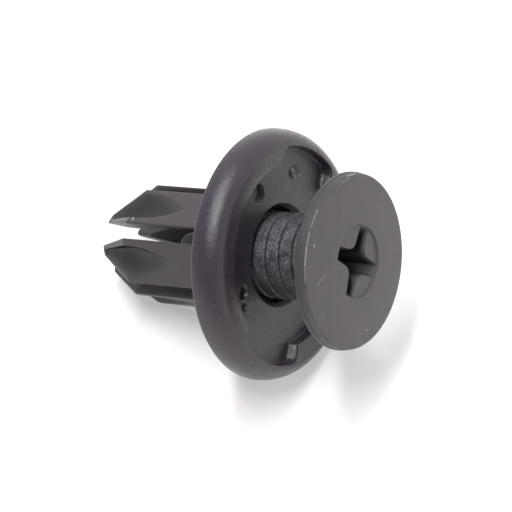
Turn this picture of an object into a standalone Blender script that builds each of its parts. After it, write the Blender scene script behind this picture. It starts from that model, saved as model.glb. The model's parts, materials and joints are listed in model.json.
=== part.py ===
"""A screw rivet of black nylon, lying on its side with its screw partly backed out.

Two pieces, as moulded: a socket (dished flange, collar and six scooped legs) and a screw
(cross-recessed head, threaded shank and tapered point). Both are built on their common axis,
local +Z towards the head with z = 0 at the flange's seat, then laid on the flange's rim and on
the flat of one leg. Lengths are in metres.
"""

import math

import bmesh
import bpy
from mathutils import Matrix, Vector

MM = 0.001

# Flange
FLANGE_RADIUS = 9.0 * MM
RIM_HEIGHT = 0.35 * MM
RIM_ROUND = 0.15 * MM
RIM_WIDTH = 1.25 * MM
CREST_HEIGHT = 2.13 * MM
SLOPE_WIDTH = 1.17 * MM
WALL_HEIGHT = 1.97 * MM
WALL_LEAN = 0.08 * MM
FLOOR_HEIGHT = 1.27 * MM
MOUTH_CHAMFER = 0.33 * MM
NOTCH_WIDTH = 6.1 * MM
NOTCH_CORNER = 0.45 * MM
NOTCH_ANGLES = (math.radians(-60), math.radians(120))
PIN_MARK_RADIUS = 0.62 * MM
PIN_MARK_DEPTH = 0.4 * MM
PIN_MARK_INSET = 1.1 * MM
PIN_MARK_ANGLE = math.radians(-10)

# Legs
LEG_COUNT = 6
LEG_WALL = 0.69 * MM
COLLAR_LENGTH = 1.4 * MM
SHOULDER_DEPTH = 9.65 * MM
NOSE_LENGTH = 3.5 * MM
TIP_ROUND = 0.3 * MM
SLOT_WIDTH = 1.2 * MM
TIP_WIDTH = 0.61542 * MM
SCOOP_LENGTH = 4.55 * MM
SCOOP_RUN = 4.1 * MM
SCOOP_HALF_WIDTH = 1.2 * MM
SCOOP_TIP_HALF_WIDTH = 0.12 * MM
SCOOP_DEPTH = 1.3 * MM
SCOOP_SHIFT = 0.1 * MM
SCOOP_END_GAP = 0.3 * MM
WEB = 0.6 * MM

# Screw
THREAD_RADIUS = 3.1 * MM
THREAD_PITCH = 1.12 * MM
GROOVE_DEPTH = 0.28 * MM
GROOVE_WIDTH = 0.34 * MM
THREAD_END = -0.35 * MM
SHANK_STEP = 0.3 * MM
POINT_RADIUS = 0.95 * MM
POINT_END = -7.1 * MM
POINT_ROUND = 0.35 * MM
HEAD_LEAN = 0.09 * MM
HEAD_UNDERSIDE = 6.69 * MM
HEAD_SIDE = 0.89 * MM
HEAD_ROUND = 0.12 * MM
HEAD_CROWN = 0.3 * MM
RECESS_DISC_RADIUS = 2.6 * MM
RECESS_DISC_DEPTH = 0.12 * MM
CROSS_SPAN = 5.2 * MM
CROSS_ARM = 0.95 * MM
CROSS_ROOT = 1.25 * MM
CROSS_CORNER = 0.5 * MM
CROSS_DEPTH = 2.6 * MM
CROSS_FLOOR_SCALE = 0.42
CROSS_ANGLE = math.radians(28)

# Clearances
THREAD_GAP = 0.3 * MM
POCKET_GAP = 0.25 * MM
OVERRUN = 0.5 * MM

# An odd count lays the edge of a facet, not a corner, on the floor
TURNED_STEPS = 75
THREAD_STEPS = 36

# The rim's rounding has three steps, and it lies on the corner after the first
RIM_STEPS = 3

crest_radius = FLANGE_RADIUS - RIM_WIDTH
wall_top_radius = crest_radius - SLOPE_WIDTH
pocket_radius = wall_top_radius - WALL_LEAN
bore_radius = THREAD_RADIUS + THREAD_GAP
mouth_radius = bore_radius + MOUTH_CHAMFER
leg_pitch = 2 * math.pi / LEG_COUNT
leg_flat = bore_radius + LEG_WALL
tip_depth = SHOULDER_DEPTH + NOSE_LENGTH
scoop_start = SHOULDER_DEPTH - SCOOP_LENGTH
scoop_full = scoop_start + SCOOP_RUN
head_radius = pocket_radius - POCKET_GAP
head_face_radius = head_radius - HEAD_LEAN
head_top = HEAD_UNDERSIDE + HEAD_SIDE + HEAD_CROWN

# The noses lean as much as the whole part does when it lies down, so it rests flat on one of them
rim_step = math.pi / 2 / RIM_STEPS
touch_radius = (FLANGE_RADIUS - RIM_ROUND * (1 - math.cos(rim_step))) * math.cos(math.pi / TURNED_STEPS)
touch_height = RIM_ROUND * (1 - math.sin(rim_step))
lying_slope = (touch_radius - leg_flat) / (SHOULDER_DEPTH + touch_height)
tip_flat = leg_flat - NOSE_LENGTH * lying_slope
slot_flare = tip_flat - TIP_WIDTH / 2 / math.tan(leg_pitch / 2)


def clear_scene():
    for obj in list(bpy.data.objects):
        bpy.data.objects.remove(obj)


def new_collection(name):
    collection = bpy.data.collections.new(name)
    bpy.context.scene.collection.children.link(collection)
    return collection


def plastic(name, colour, roughness):
    material = bpy.data.materials.new(name)
    material.use_nodes = True
    surface = material.node_tree.nodes["Principled BSDF"]
    surface.inputs["Base Color"].default_value = (*colour, 1)
    surface.inputs["Roughness"].default_value = roughness
    surface.inputs["Metallic"].default_value = 0
    return material


def add_object(name, collection, build):
    """An object whose mesh is filled by build(bm)."""
    mesh = bpy.data.meshes.new(name)
    bm = bmesh.new()
    build(bm)
    bm.to_mesh(mesh)
    bm.free()
    obj = bpy.data.objects.new(name, mesh)
    collection.objects.link(obj)
    return obj


def hide_cutter(obj):
    obj.hide_render = True
    obj.display_type = "WIRE"
    return obj


def turned(name, collection, profile, steps=TURNED_STEPS):
    """A profile of (radius, height) points, outer side first from the top, spun about Z."""

    def build(bm):
        points = [bm.verts.new((radius, 0, height)) for radius, height in profile]
        for first, second in zip(points, points[1:]):
            bm.edges.new((first, second))

    obj = add_object(name, collection, build)
    spin = obj.modifiers.new("Spin", "SCREW")
    spin.steps = steps
    spin.render_steps = steps
    spin.use_merge_vertices = True
    spin.merge_threshold = 0.00001
    spin.use_smooth_shade = False
    return obj


def boolean(obj, other, operation):
    modifier = obj.modifiers.new(other.name, "BOOLEAN")
    modifier.operation = operation
    modifier.object = other


def arc(centre, radius, start, end, count):
    """Points of an arc in the plane of (radius, height), angles in radians."""
    return [
        (
            centre[0] + radius * math.cos(start + (end - start) * i / count),
            centre[1] + radius * math.sin(start + (end - start) * i / count),
        )
        for i in range(count + 1)
    ]


def extrude_outline(bm, outline, low, high):
    """A prism over a flat outline of (x, y) points."""
    face = bm.faces.new([bm.verts.new((x, y, low)) for x, y in outline])
    top = bmesh.ops.extrude_face_region(bm, geom=[face])["geom"]
    moved = [item for item in top if isinstance(item, bmesh.types.BMVert)]
    bmesh.ops.translate(bm, vec=(0, 0, high - low), verts=moved)
    bmesh.ops.recalc_face_normals(bm, faces=bm.faces)


def flange_profile():
    """The dished flange in section: pocket floor and wall, shallow slope, domed rim and seat."""
    pocket = [(0, FLOOR_HEIGHT), (pocket_radius, FLOOR_HEIGHT), (wall_top_radius, WALL_HEIGHT)]
    slope = []
    for i in range(1, 4):
        share = i / 3
        radius = wall_top_radius + SLOPE_WIDTH * share
        slope.append((radius, WALL_HEIGHT + (CREST_HEIGHT - WALL_HEIGHT) * (1 - (1 - share) ** 2)))
    dome = []
    for i in range(1, 7):
        angle = math.pi / 2 * (1 - i / 6)
        radius = crest_radius + RIM_WIDTH * math.cos(angle)
        height = RIM_HEIGHT + (CREST_HEIGHT - RIM_HEIGHT) * math.sin(angle)
        dome.append((radius, height))
    edge = arc((FLANGE_RADIUS - RIM_ROUND, RIM_ROUND), RIM_ROUND, 0, -math.pi / 2, RIM_STEPS)
    return pocket + slope + dome + edge + [(0, 0)]


def nose_share(depth):
    """How far a depth lies down the nose: 0 at the shoulder, 1 at the tip."""
    return min(1, max(0, (depth - SHOULDER_DEPTH) / NOSE_LENGTH))


def leg_outside(depth):
    """Distance of a leg's flat outer face from the axis."""
    return leg_flat + (tip_flat - leg_flat) * nose_share(depth)


def bore_at_nose():
    """The bore's radius at the tips, from a web that keeps its wall behind the scoop's floor."""
    slope = SCOOP_DEPTH / SCOOP_LENGTH
    return bore_radius - slope * (tip_depth - scoop_start - WEB)


def hex_barrel(bm):
    """The collar and legs as one hexagonal bar, drawn in to a blunt nose below the shoulders."""
    corner = 1 / math.cos(leg_pitch / 2)
    sections = [
        (leg_flat, RIM_HEIGHT),
        (leg_flat, -SHOULDER_DEPTH),
        (tip_flat + TIP_ROUND * lying_slope, -tip_depth + TIP_ROUND),
        (tip_flat - TIP_ROUND * 0.2, -tip_depth + TIP_ROUND * 0.25),
        (tip_flat - TIP_ROUND, -tip_depth),
    ]
    rings = []
    for flat, height in sections:
        ring = []
        for i in range(LEG_COUNT):
            angle = leg_pitch * (i + 0.5)
            ring.append(bm.verts.new((flat * corner * math.cos(angle), flat * corner * math.sin(angle), height)))
        rings.append(ring)
    for upper, lower in zip(rings, rings[1:]):
        for i in range(LEG_COUNT):
            j = (i + 1) % LEG_COUNT
            bm.faces.new((upper[i], lower[i], lower[j], upper[j]))
    bm.faces.new(rings[0])
    bm.faces.new(rings[-1][::-1])
    bmesh.ops.recalc_face_normals(bm, faces=bm.faces)


def bore_profile():
    """The hole on the axis: a chamfered mouth, straight for the thread, then drawn in behind the webs."""
    above = FLOOR_HEIGHT + OVERRUN
    below = tip_depth + OVERRUN
    nose = bore_at_nose()
    return [(0, above), (mouth_radius + OVERRUN, above), (bore_radius, FLOOR_HEIGHT - MOUTH_CHAMFER),
            (bore_radius, -scoop_start - WEB), (nose, -tip_depth), (nose, -below), (0, -below)]


def slot_cutter(bm, angle):
    """One saw cut right across the barrel, flared below the shoulders so that the tips are narrow."""
    below = tip_depth + OVERRUN
    flare = SLOT_WIDTH + (slot_flare - SLOT_WIDTH) * (below - SHOULDER_DEPTH) / NOSE_LENGTH
    half_widths = [(SLOT_WIDTH / 2, -COLLAR_LENGTH), (SLOT_WIDTH / 2, -SHOULDER_DEPTH), (flare / 2, -below)]
    outline = [(half, height) for half, height in half_widths]
    outline += [(-half, height) for half, height in reversed(half_widths)]
    length = 2 * (leg_flat / math.cos(leg_pitch / 2) + OVERRUN)
    extrude_outline(bm, outline, -length / 2, length / 2)
    stand_up = Matrix.Rotation(angle, 3, "Z") @ Matrix(((0, 0, 1), (1, 0, 0), (0, 1, 0)))
    bmesh.ops.transform(bm, matrix=stand_up.to_4x4(), verts=bm.verts)


def scoop_half_width(depth):
    """Half the scoop's width: two arcs that start in a point, then straight sides that follow the nose."""
    if depth > SHOULDER_DEPTH:
        return SCOOP_HALF_WIDTH + (SCOOP_TIP_HALF_WIDTH - SCOOP_HALF_WIDTH) * nose_share(depth)
    radius = (SCOOP_RUN * SCOOP_RUN + SCOOP_HALF_WIDTH * SCOOP_HALF_WIDTH) / (2 * SCOOP_HALF_WIDTH)
    short = max(0, scoop_full - depth)
    return SCOOP_HALF_WIDTH - radius + math.sqrt(max(radius * radius - short * short, 0))


def scoop_floor(depth):
    """Distance of the scoop's floor from the axis: it sinks to the shoulder, then meets the tip."""
    if depth > SHOULDER_DEPTH:
        return leg_outside(depth) - SCOOP_DEPTH * (1 - nose_share(depth))
    return leg_flat - SCOOP_DEPTH * (depth - scoop_start) / SCOOP_LENGTH


def scoop_cutter(bm, angle):
    """A boat-shaped gouge with a pointed start: a loft of deep round-bottomed sections.

    The mould's halves pull apart to the sides, so each gouge sits a little off its leg's middle.
    """
    shift = SCOOP_SHIFT * math.sin(2 * (angle - leg_pitch / 2))
    above = [scoop_start + SCOOP_RUN * share for share in (0.05, 0.2, 0.4, 0.65, 1)]
    run_out = NOSE_LENGTH - SCOOP_END_GAP
    below = [SHOULDER_DEPTH + run_out * share for share in (0, 0.5, 1)]
    rings = []
    for depth in above + below:
        half = scoop_half_width(depth)
        top = leg_outside(depth)
        sink = top - scoop_floor(depth)
        ring = [(top + OVERRUN, half)]
        for i in range(7):
            around = math.pi * (i + 0.5) / 7
            ring.append((top - sink * math.sin(around) ** 0.7, half * math.cos(around)))
        ring.append((top + OVERRUN, -half))
        rings.append([bm.verts.new((x, y + shift, -depth)) for x, y in ring])
    count = len(rings[0])
    for upper, lower in zip(rings, rings[1:]):
        for i in range(count):
            j = (i + 1) % count
            bm.faces.new((upper[i], lower[i], lower[j], upper[j]))
    bm.faces.new(rings[0])
    bm.faces.new(rings[-1][::-1])
    bmesh.ops.recalc_face_normals(bm, faces=bm.faces)
    bmesh.ops.rotate(bm, cent=(0, 0, 0), matrix=Matrix.Rotation(angle, 3, "Z"), verts=bm.verts)


def notch_cutter(bm, angle):
    """A pry notch: parallel sides from the pocket out to an end wall that follows the rim."""
    half = NOTCH_WIDTH / 2
    inner = crest_radius - NOTCH_CORNER
    end = math.asin((half - NOTCH_CORNER) / inner)
    upper = arc((inner * math.cos(end), inner * math.sin(end)), NOTCH_CORNER, end, math.pi / 2, 3)
    wall = arc((0, 0), crest_radius, -end, end, 6)
    lower = [(x, -y) for x, y in reversed(upper)]
    outline = [(mouth_radius, -half)] + lower + wall[1:-1] + upper + [(mouth_radius, half)]
    extrude_outline(bm, outline, FLOOR_HEIGHT, CREST_HEIGHT + OVERRUN)
    bmesh.ops.rotate(bm, cent=(0, 0, 0), matrix=Matrix.Rotation(angle, 3, "Z"), verts=bm.verts)


def pin_mark_cutter(bm):
    depth = PIN_MARK_DEPTH + OVERRUN
    bmesh.ops.create_cone(bm, cap_ends=True, segments=20, radius1=PIN_MARK_RADIUS,
                          radius2=PIN_MARK_RADIUS, depth=depth)
    radius = pocket_radius - PIN_MARK_INSET
    place = Vector((radius * math.cos(PIN_MARK_ANGLE), radius * math.sin(PIN_MARK_ANGLE),
                    FLOOR_HEIGHT - PIN_MARK_DEPTH + depth / 2))
    bmesh.ops.translate(bm, vec=place, verts=bm.verts)


def make_socket(parts, cutters, material):
    socket = turned("socket", parts, flange_profile())
    boolean(socket, hide_cutter(add_object("barrel", cutters, hex_barrel)), "UNION")
    boolean(socket, hide_cutter(turned("bore", cutters, bore_profile(), steps=48)), "DIFFERENCE")
    for i in range(LEG_COUNT // 2):
        angle = leg_pitch * (i + 0.5)
        slot = add_object(f"slot_{i + 1}", cutters, lambda bm, a=angle: slot_cutter(bm, a))
        boolean(socket, hide_cutter(slot), "DIFFERENCE")
    for i in range(LEG_COUNT):
        scoop = add_object(f"scoop_{i + 1}", cutters, lambda bm, a=leg_pitch * i: scoop_cutter(bm, a))
        boolean(socket, hide_cutter(scoop), "DIFFERENCE")
    for i, angle in enumerate(NOTCH_ANGLES):
        notch = add_object(f"notch_{i + 1}", cutters, lambda bm, a=angle: notch_cutter(bm, a))
        boolean(socket, hide_cutter(notch), "DIFFERENCE")
    boolean(socket, hide_cutter(add_object("pin_mark", cutters, pin_mark_cutter)), "DIFFERENCE")
    socket.data.materials.append(material)
    return socket


def thread_bar(bm):
    """A grooved bar: the thread's section is spun once while it climbs one pitch, well past its end."""
    low = THREAD_END - 2 * THREAD_PITCH
    turns = math.ceil((HEAD_UNDERSIDE + THREAD_PITCH - low) / THREAD_PITCH)
    section = []
    for turn in range(turns):
        base = low + turn * THREAD_PITCH
        section += [(THREAD_RADIUS, base), (THREAD_RADIUS, base + THREAD_PITCH - GROOVE_WIDTH),
                    (THREAD_RADIUS - GROOVE_DEPTH, base + THREAD_PITCH - GROOVE_WIDTH / 2)]
    section.append((THREAD_RADIUS, low + turns * THREAD_PITCH))
    outline = [(0, section[0][1])] + section + [(0, section[-1][1])]
    points = [bm.verts.new((radius, 0, height)) for radius, height in outline]
    edges = [bm.edges.new(pair) for pair in zip(points, points[1:])]
    bmesh.ops.spin(bm, geom=points + edges, cent=(0, 0, 0), axis=(0, 0, 1), angle=2 * math.pi,
                   steps=THREAD_STEPS, dvec=(0, 0, THREAD_PITCH / THREAD_STEPS))
    bmesh.ops.remove_doubles(bm, verts=bm.verts, dist=0.00001)
    bmesh.ops.holes_fill(bm, edges=[edge for edge in bm.edges if edge.is_boundary])
    bmesh.ops.recalc_face_normals(bm, faces=bm.faces)


def shank_profile():
    """The length of thread that is kept, with a chamfered lower end."""
    reach = THREAD_RADIUS + OVERRUN
    top = HEAD_UNDERSIDE + SHANK_STEP
    return [(0, top), (reach, top), (reach, THREAD_END + SHANK_STEP), (THREAD_RADIUS - GROOVE_DEPTH, THREAD_END),
            (0, THREAD_END)]


def point_profile():
    """The tapered point below the thread, with a rounded end."""
    root = THREAD_RADIUS - GROOVE_DEPTH - SHANK_STEP / 2
    top = THREAD_END + SHANK_STEP
    nose = arc((POINT_RADIUS - POINT_ROUND, POINT_END + POINT_ROUND), POINT_ROUND, 0, -math.pi / 2, 3)
    return [(0, top), (root, top), (root, THREAD_END - SHANK_STEP)] + nose + [(0, POINT_END)]


def head_profile():
    """The head in section: sunk centre disc, crowned face, sloped side and flat underside."""
    face_edge = HEAD_UNDERSIDE + HEAD_SIDE
    crown = []
    for i in range(1, 5):
        radius = RECESS_DISC_RADIUS + (head_face_radius - HEAD_ROUND - RECESS_DISC_RADIUS) * i / 4
        share = radius / head_face_radius
        crown.append((radius, face_edge + HEAD_CROWN * (1 - share * share)))
    disc = head_top - RECESS_DISC_DEPTH - HEAD_CROWN * (RECESS_DISC_RADIUS / head_face_radius) ** 2
    rim = (RECESS_DISC_RADIUS, disc + RECESS_DISC_DEPTH)
    side = [(head_face_radius, face_edge - HEAD_ROUND), (head_radius, HEAD_UNDERSIDE + HEAD_ROUND),
            (head_radius - HEAD_ROUND, HEAD_UNDERSIDE), (0, HEAD_UNDERSIDE)]
    return [(0, disc), (RECESS_DISC_RADIUS, disc), rim] + crown + side


def cross_outline():
    """A cross with rounded inner corners, as (x, y) points."""
    reach = CROSS_SPAN / 2
    corner = CROSS_ROOT / 2 + CROSS_CORNER
    inner = arc((corner, corner), CROSS_CORNER, -math.pi / 2, -math.pi, 3)
    outline = []
    for arm in range(4):
        turn = math.pi / 2 * arm
        for x, y in [(reach, -CROSS_ARM / 2), (reach, CROSS_ARM / 2)] + inner:
            outline.append((x * math.cos(turn) - y * math.sin(turn), x * math.sin(turn) + y * math.cos(turn)))
    return outline


def cross_cutter(bm):
    """The driver recess: the cross drawn in towards its floor."""
    extrude_outline(bm, cross_outline(), head_top - CROSS_DEPTH, head_top)
    floor = [vert for vert in bm.verts if vert.co.z < head_top - CROSS_DEPTH / 2]
    bmesh.ops.scale(bm, vec=(CROSS_FLOOR_SCALE, CROSS_FLOOR_SCALE, 1), verts=floor)
    bmesh.ops.rotate(bm, cent=(0, 0, 0), matrix=Matrix.Rotation(CROSS_ANGLE, 3, "Z"), verts=bm.verts)


def make_screw(parts, cutters, material):
    screw = turned("screw", parts, head_profile())
    thread = hide_cutter(add_object("thread", cutters, thread_bar))
    length = hide_cutter(turned("thread_length", cutters, shank_profile(), steps=THREAD_STEPS))
    boolean(thread, length, "INTERSECT")
    boolean(screw, thread, "UNION")
    point = hide_cutter(turned("point", cutters, point_profile(), steps=THREAD_STEPS))
    boolean(screw, point, "UNION")
    boolean(screw, hide_cutter(add_object("cross", cutters, cross_cutter)), "DIFFERENCE")
    screw.data.materials.append(material)
    return screw


def rest_on_floor(pieces, everything):
    """Lays the part on its rim and on one leg's nose, and centres its box over the origin."""
    stand = bpy.data.objects.new("lying_axis", None)
    bpy.context.scene.collection.objects.link(stand)
    for obj in everything:
        obj.parent = stand
    tilt = math.atan(lying_slope)
    stand.matrix_world = Matrix.Rotation(math.pi / 2 - tilt, 4, "Y") @ Matrix.Rotation(math.pi, 4, "Z")
    bpy.context.view_layer.update()
    graph = bpy.context.evaluated_depsgraph_get()
    corners = []
    for piece in pieces:
        mesh = piece.evaluated_get(graph).to_mesh()
        corners += [piece.matrix_world @ vert.co for vert in mesh.vertices]
        piece.evaluated_get(graph).to_mesh_clear()
    low = [min(corner[axis] for corner in corners) for axis in range(3)]
    high = [max(corner[axis] for corner in corners) for axis in range(3)]
    stand.location = (-(low[0] + high[0]) / 2, -(low[1] + high[1]) / 2, -low[2])
    bpy.context.view_layer.update()


def main():
    clear_scene()
    parts = new_collection("screw_rivet")
    cutters = new_collection("cutters")
    socket = make_socket(parts, cutters, plastic("socket_nylon", (0.022, 0.021, 0.023), 0.42))
    screw = make_screw(parts, cutters, plastic("screw_nylon", (0.03, 0.028, 0.03), 0.5))
    rest_on_floor((socket, screw), list(parts.objects) + list(cutters.objects))


main()
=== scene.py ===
# %% [markdown]
# # A screw rivet of black nylon
# A screw rivet holds car trim to a panel. Its legs go through a hole, and its screw, turned home,
# spreads them. This one lies on its side with the screw partly backed out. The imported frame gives
# two solids, a socket and a screw. Here each becomes finely shaped mouldings with the soft edges,
# tool marks and scuffs of the real plastic, laid exactly where the frame's solids are.

# %% Load the frame
import json
import math

import bmesh
import bpy
from mathutils import Matrix, Vector, noise


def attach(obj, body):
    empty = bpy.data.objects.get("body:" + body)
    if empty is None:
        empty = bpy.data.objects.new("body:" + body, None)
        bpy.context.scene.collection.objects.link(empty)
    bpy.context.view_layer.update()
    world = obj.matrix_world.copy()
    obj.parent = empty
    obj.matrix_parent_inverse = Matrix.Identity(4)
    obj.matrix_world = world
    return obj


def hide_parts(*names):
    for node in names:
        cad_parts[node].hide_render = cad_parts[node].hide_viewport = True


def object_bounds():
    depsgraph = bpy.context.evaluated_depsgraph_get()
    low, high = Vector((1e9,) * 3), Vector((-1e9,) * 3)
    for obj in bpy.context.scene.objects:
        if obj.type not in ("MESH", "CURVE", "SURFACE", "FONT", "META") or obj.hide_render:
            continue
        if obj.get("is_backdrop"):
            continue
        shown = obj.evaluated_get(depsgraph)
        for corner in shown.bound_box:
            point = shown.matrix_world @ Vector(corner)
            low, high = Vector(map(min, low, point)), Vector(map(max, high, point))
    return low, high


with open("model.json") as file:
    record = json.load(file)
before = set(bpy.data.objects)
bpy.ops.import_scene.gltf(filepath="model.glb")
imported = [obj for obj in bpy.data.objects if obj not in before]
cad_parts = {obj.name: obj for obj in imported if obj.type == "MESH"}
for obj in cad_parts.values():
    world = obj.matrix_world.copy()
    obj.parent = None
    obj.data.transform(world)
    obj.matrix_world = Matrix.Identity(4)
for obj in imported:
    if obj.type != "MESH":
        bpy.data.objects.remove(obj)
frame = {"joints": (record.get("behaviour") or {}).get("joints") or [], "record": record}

cad_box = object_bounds()
print("CAD box in mm", [[round(value * 1000, 2) for value in corner] for corner in cad_box])

# %% [markdown]
# ## Where the part lies
# Round things are easy to model standing on their own axis, so every moulding is drawn in
# millimetres with its axis along Z and the flange's seat at zero. One matrix then scales it to
# metres and lays it down. The screw's joint gives the direction of the axis, and the mount on the
# seat gives its place, so nothing is measured by hand.

# %% Lay the axis down
travel = Vector(frame["joints"][0]["axis"]).normalized()
seat_mount = next(mount for mount in frame["record"]["mounts"] if mount["name"] == "flange_seat")
seat = Vector((seat_mount["pos_m"][0], 0, seat_mount["pos_m"][2]))
tilt = math.atan2(travel.z, travel.x)
TURN_DOWN = Matrix.Rotation(math.pi / 2 - tilt, 4, "Y") @ Matrix.Rotation(math.pi, 4, "Z")
LAY_DOWN = Matrix.Translation(seat) @ TURN_DOWN @ Matrix.Scale(0.001, 4)
print("axis tips up by", round(math.degrees(tilt), 2), "degrees")

# %% [markdown]
# ## Helpers for turned shapes
# A lathe shape is a profile spun about the axis. Moulded plastic has no truly sharp corner, so the
# profile's corners are rounded first, and it is then cut into short steps. The short steps give the
# later cells points enough to press notches, pits and a driver recess into the surface.

# %% Profile helpers
def rounded(corners, steps=4):
    """A path through (radius, height, rounding) corners, as a list of vectors."""
    path = []
    for i, (radius, height, rounding) in enumerate(corners):
        here = Vector((radius, height))
        if rounding == 0:
            path.append(here)
            continue
        back = Vector(corners[i - 1][:2]) - here
        ahead = Vector(corners[(i + 1) % len(corners)][:2]) - here
        reach = rounding / math.tan(back.angle(ahead) / 2)
        reach = min(reach, back.length * 0.49, ahead.length * 0.49)
        start = here + back.normalized() * reach
        end = here + ahead.normalized() * reach
        for k in range(steps + 1):
            share = k / steps
            path.append(start.lerp(here, share).lerp(here.lerp(end, share), share))
    return path


def spaced(path, gap):
    """The same path with no step longer than the gap."""
    fine = [path[0]]
    for start, end in zip(path, path[1:]):
        count = max(1, math.ceil((end - start).length / gap))
        fine += [start.lerp(end, k / count) for k in range(1, count + 1)]
    return fine


def spun(path, steps, closed=False):
    """The path as a full turn about Z."""
    bm = bmesh.new()
    points = [bm.verts.new((point.x, 0, point.y)) for point in path]
    edges = [bm.edges.new(pair) for pair in zip(points, points[1:])]
    if closed:
        edges.append(bm.edges.new((points[-1], points[0])))
    bmesh.ops.spin(bm, geom=points + edges, cent=(0, 0, 0), axis=(0, 0, 1), angle=2 * math.pi,
                   steps=steps, use_merge=True)
    bmesh.ops.remove_doubles(bm, verts=bm.verts, dist=0.0005)
    bmesh.ops.recalc_face_normals(bm, faces=bm.faces)
    return bm


# %% [markdown]
# ## Finishing a piece
# Each finished piece keeps its object at the origin, with its place in its mesh, and rides on a
# body of the frame, so it moves when the screw slides.

# %% Piece helper
def finish_piece(bm, name, body, material):
    """Lays a piece down, smooths its shading and ties it to its body."""
    bmesh.ops.transform(bm, matrix=LAY_DOWN, verts=bm.verts)
    for face in bm.faces:
        face.smooth = True
    mesh = bpy.data.meshes.new(name)
    bm.to_mesh(mesh)
    bm.free()
    mesh.materials.append(material)
    piece = bpy.data.objects.new(name, mesh)
    bpy.context.scene.collection.objects.link(piece)
    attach(piece, body)
    print(name, len(mesh.polygons), "faces")
    return piece


def smooth_step(low, high, value):
    share = min(1, max(0, (value - low) / (high - low)))
    return share * share * (3 - 2 * share)


# %% [markdown]
# ## The nylon
# Both pieces are black nylon as it leaves the mould. Against a white background it shows dark grey,
# with a soft sheen from the fine texture of the tool. The parts share one node group for that
# texture: broad cloudiness in the colour, fine grain in the height, and a little of both in the
# roughness. Coordinates are the object's own, turned to the rivet's axis by a Mapping node.

# %% Node helpers
def link(tree, source, target):
    tree.links.new(source, target)


def math_node(tree, operation, first, second=None, third=None, clamp=False):
    """One Math node whose inputs are sockets or plain numbers. Gives its output."""
    node = tree.nodes.new("ShaderNodeMath")
    node.operation = operation
    node.use_clamp = clamp
    for socket, value in zip(node.inputs, (first, second, third)):
        if isinstance(value, bpy.types.NodeSocket):
            link(tree, value, socket)
        elif value is not None:
            socket.default_value = value
    return node.outputs[0]


def new_group(name, inputs, outputs):
    """A node group with named sockets, given as (name, kind, default). Gives it and its two ends."""
    group = bpy.data.node_groups.new(name, "ShaderNodeTree")
    for label, kind, default in inputs:
        socket = group.interface.new_socket(label, in_out="INPUT", socket_type="NodeSocket" + kind)
        if default is not None:
            socket.default_value = default
    for label, kind in outputs:
        group.interface.new_socket(label, in_out="OUTPUT", socket_type="NodeSocket" + kind)
    return group, group.nodes.new("NodeGroupInput"), group.nodes.new("NodeGroupOutput")


def noise_node(tree, place, scale, detail=4, roughness=0.6):
    """A Noise texture at a place. Gives its value."""
    node = tree.nodes.new("ShaderNodeTexNoise")
    node.inputs["Scale"].default_value = scale
    node.inputs["Detail"].default_value = detail
    node.inputs["Roughness"].default_value = roughness
    link(tree, place, node.inputs["Vector"])
    return node.outputs["Fac"]


# %% [markdown]
# The first group is that shared texture. One noise texture would look the same at every scale, so
# it adds three: slow clouds, a finer mottle and a grain of a tenth of a millimetre. A group is built
# once and placed in every material, each with its own colour, cloudiness and roughness.

# %% Group for moulded nylon
def build_moulded_group():
    group, given, result = new_group(
        "moulded_nylon",
        [("Place", "Vector", None), ("Colour", "Color", (0.06, 0.058, 0.062, 1)),
         ("Cloudiness", "Float", 0.2), ("Roughness", "Float", 0.45)],
        [("Colour", "Color"), ("Roughness", "Float"), ("Height", "Float")])
    place = given.outputs["Place"]
    clouds = noise_node(group, place, 0.55, detail=3)
    mottle = noise_node(group, place, 2.6)
    grain = noise_node(group, place, 11.0, detail=3, roughness=0.7)
    both = math_node(group, "ADD", clouds, mottle)
    swing = math_node(group, "MULTIPLY", math_node(group, "SUBTRACT", both, 1.0),
                      given.outputs["Cloudiness"])
    level = math_node(group, "ADD", swing, 1.0)
    tint = group.nodes.new("ShaderNodeVectorMath")
    tint.operation = "SCALE"
    link(group, given.outputs["Colour"], tint.inputs[0])
    link(group, level, tint.inputs["Scale"])
    link(group, tint.outputs[0], result.inputs["Colour"])
    speck = math_node(group, "MULTIPLY_ADD", math_node(group, "SUBTRACT", mottle, 0.5), 0.25,
                      given.outputs["Roughness"])
    fine_speck = math_node(group, "MULTIPLY_ADD", math_node(group, "SUBTRACT", grain, 0.5), 0.2, speck)
    link(group, fine_speck, result.inputs["Roughness"])
    link(group, math_node(group, "MULTIPLY_ADD", mottle, 0.4, grain), result.inputs["Height"])
    return group


moulded_group = build_moulded_group()
print(moulded_group.name, len(moulded_group.nodes), "nodes")

# %% [markdown]
# ## Scratches and flecks
# The photographed rivet carries a few hairline scratches and tiny pale flecks of plastic. Each is a
# short line on the surface, so one group measures how far a point lies from a line between two
# points, and gives a mask that fades within the line's width. A fleck is simply a very short line.

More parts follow.
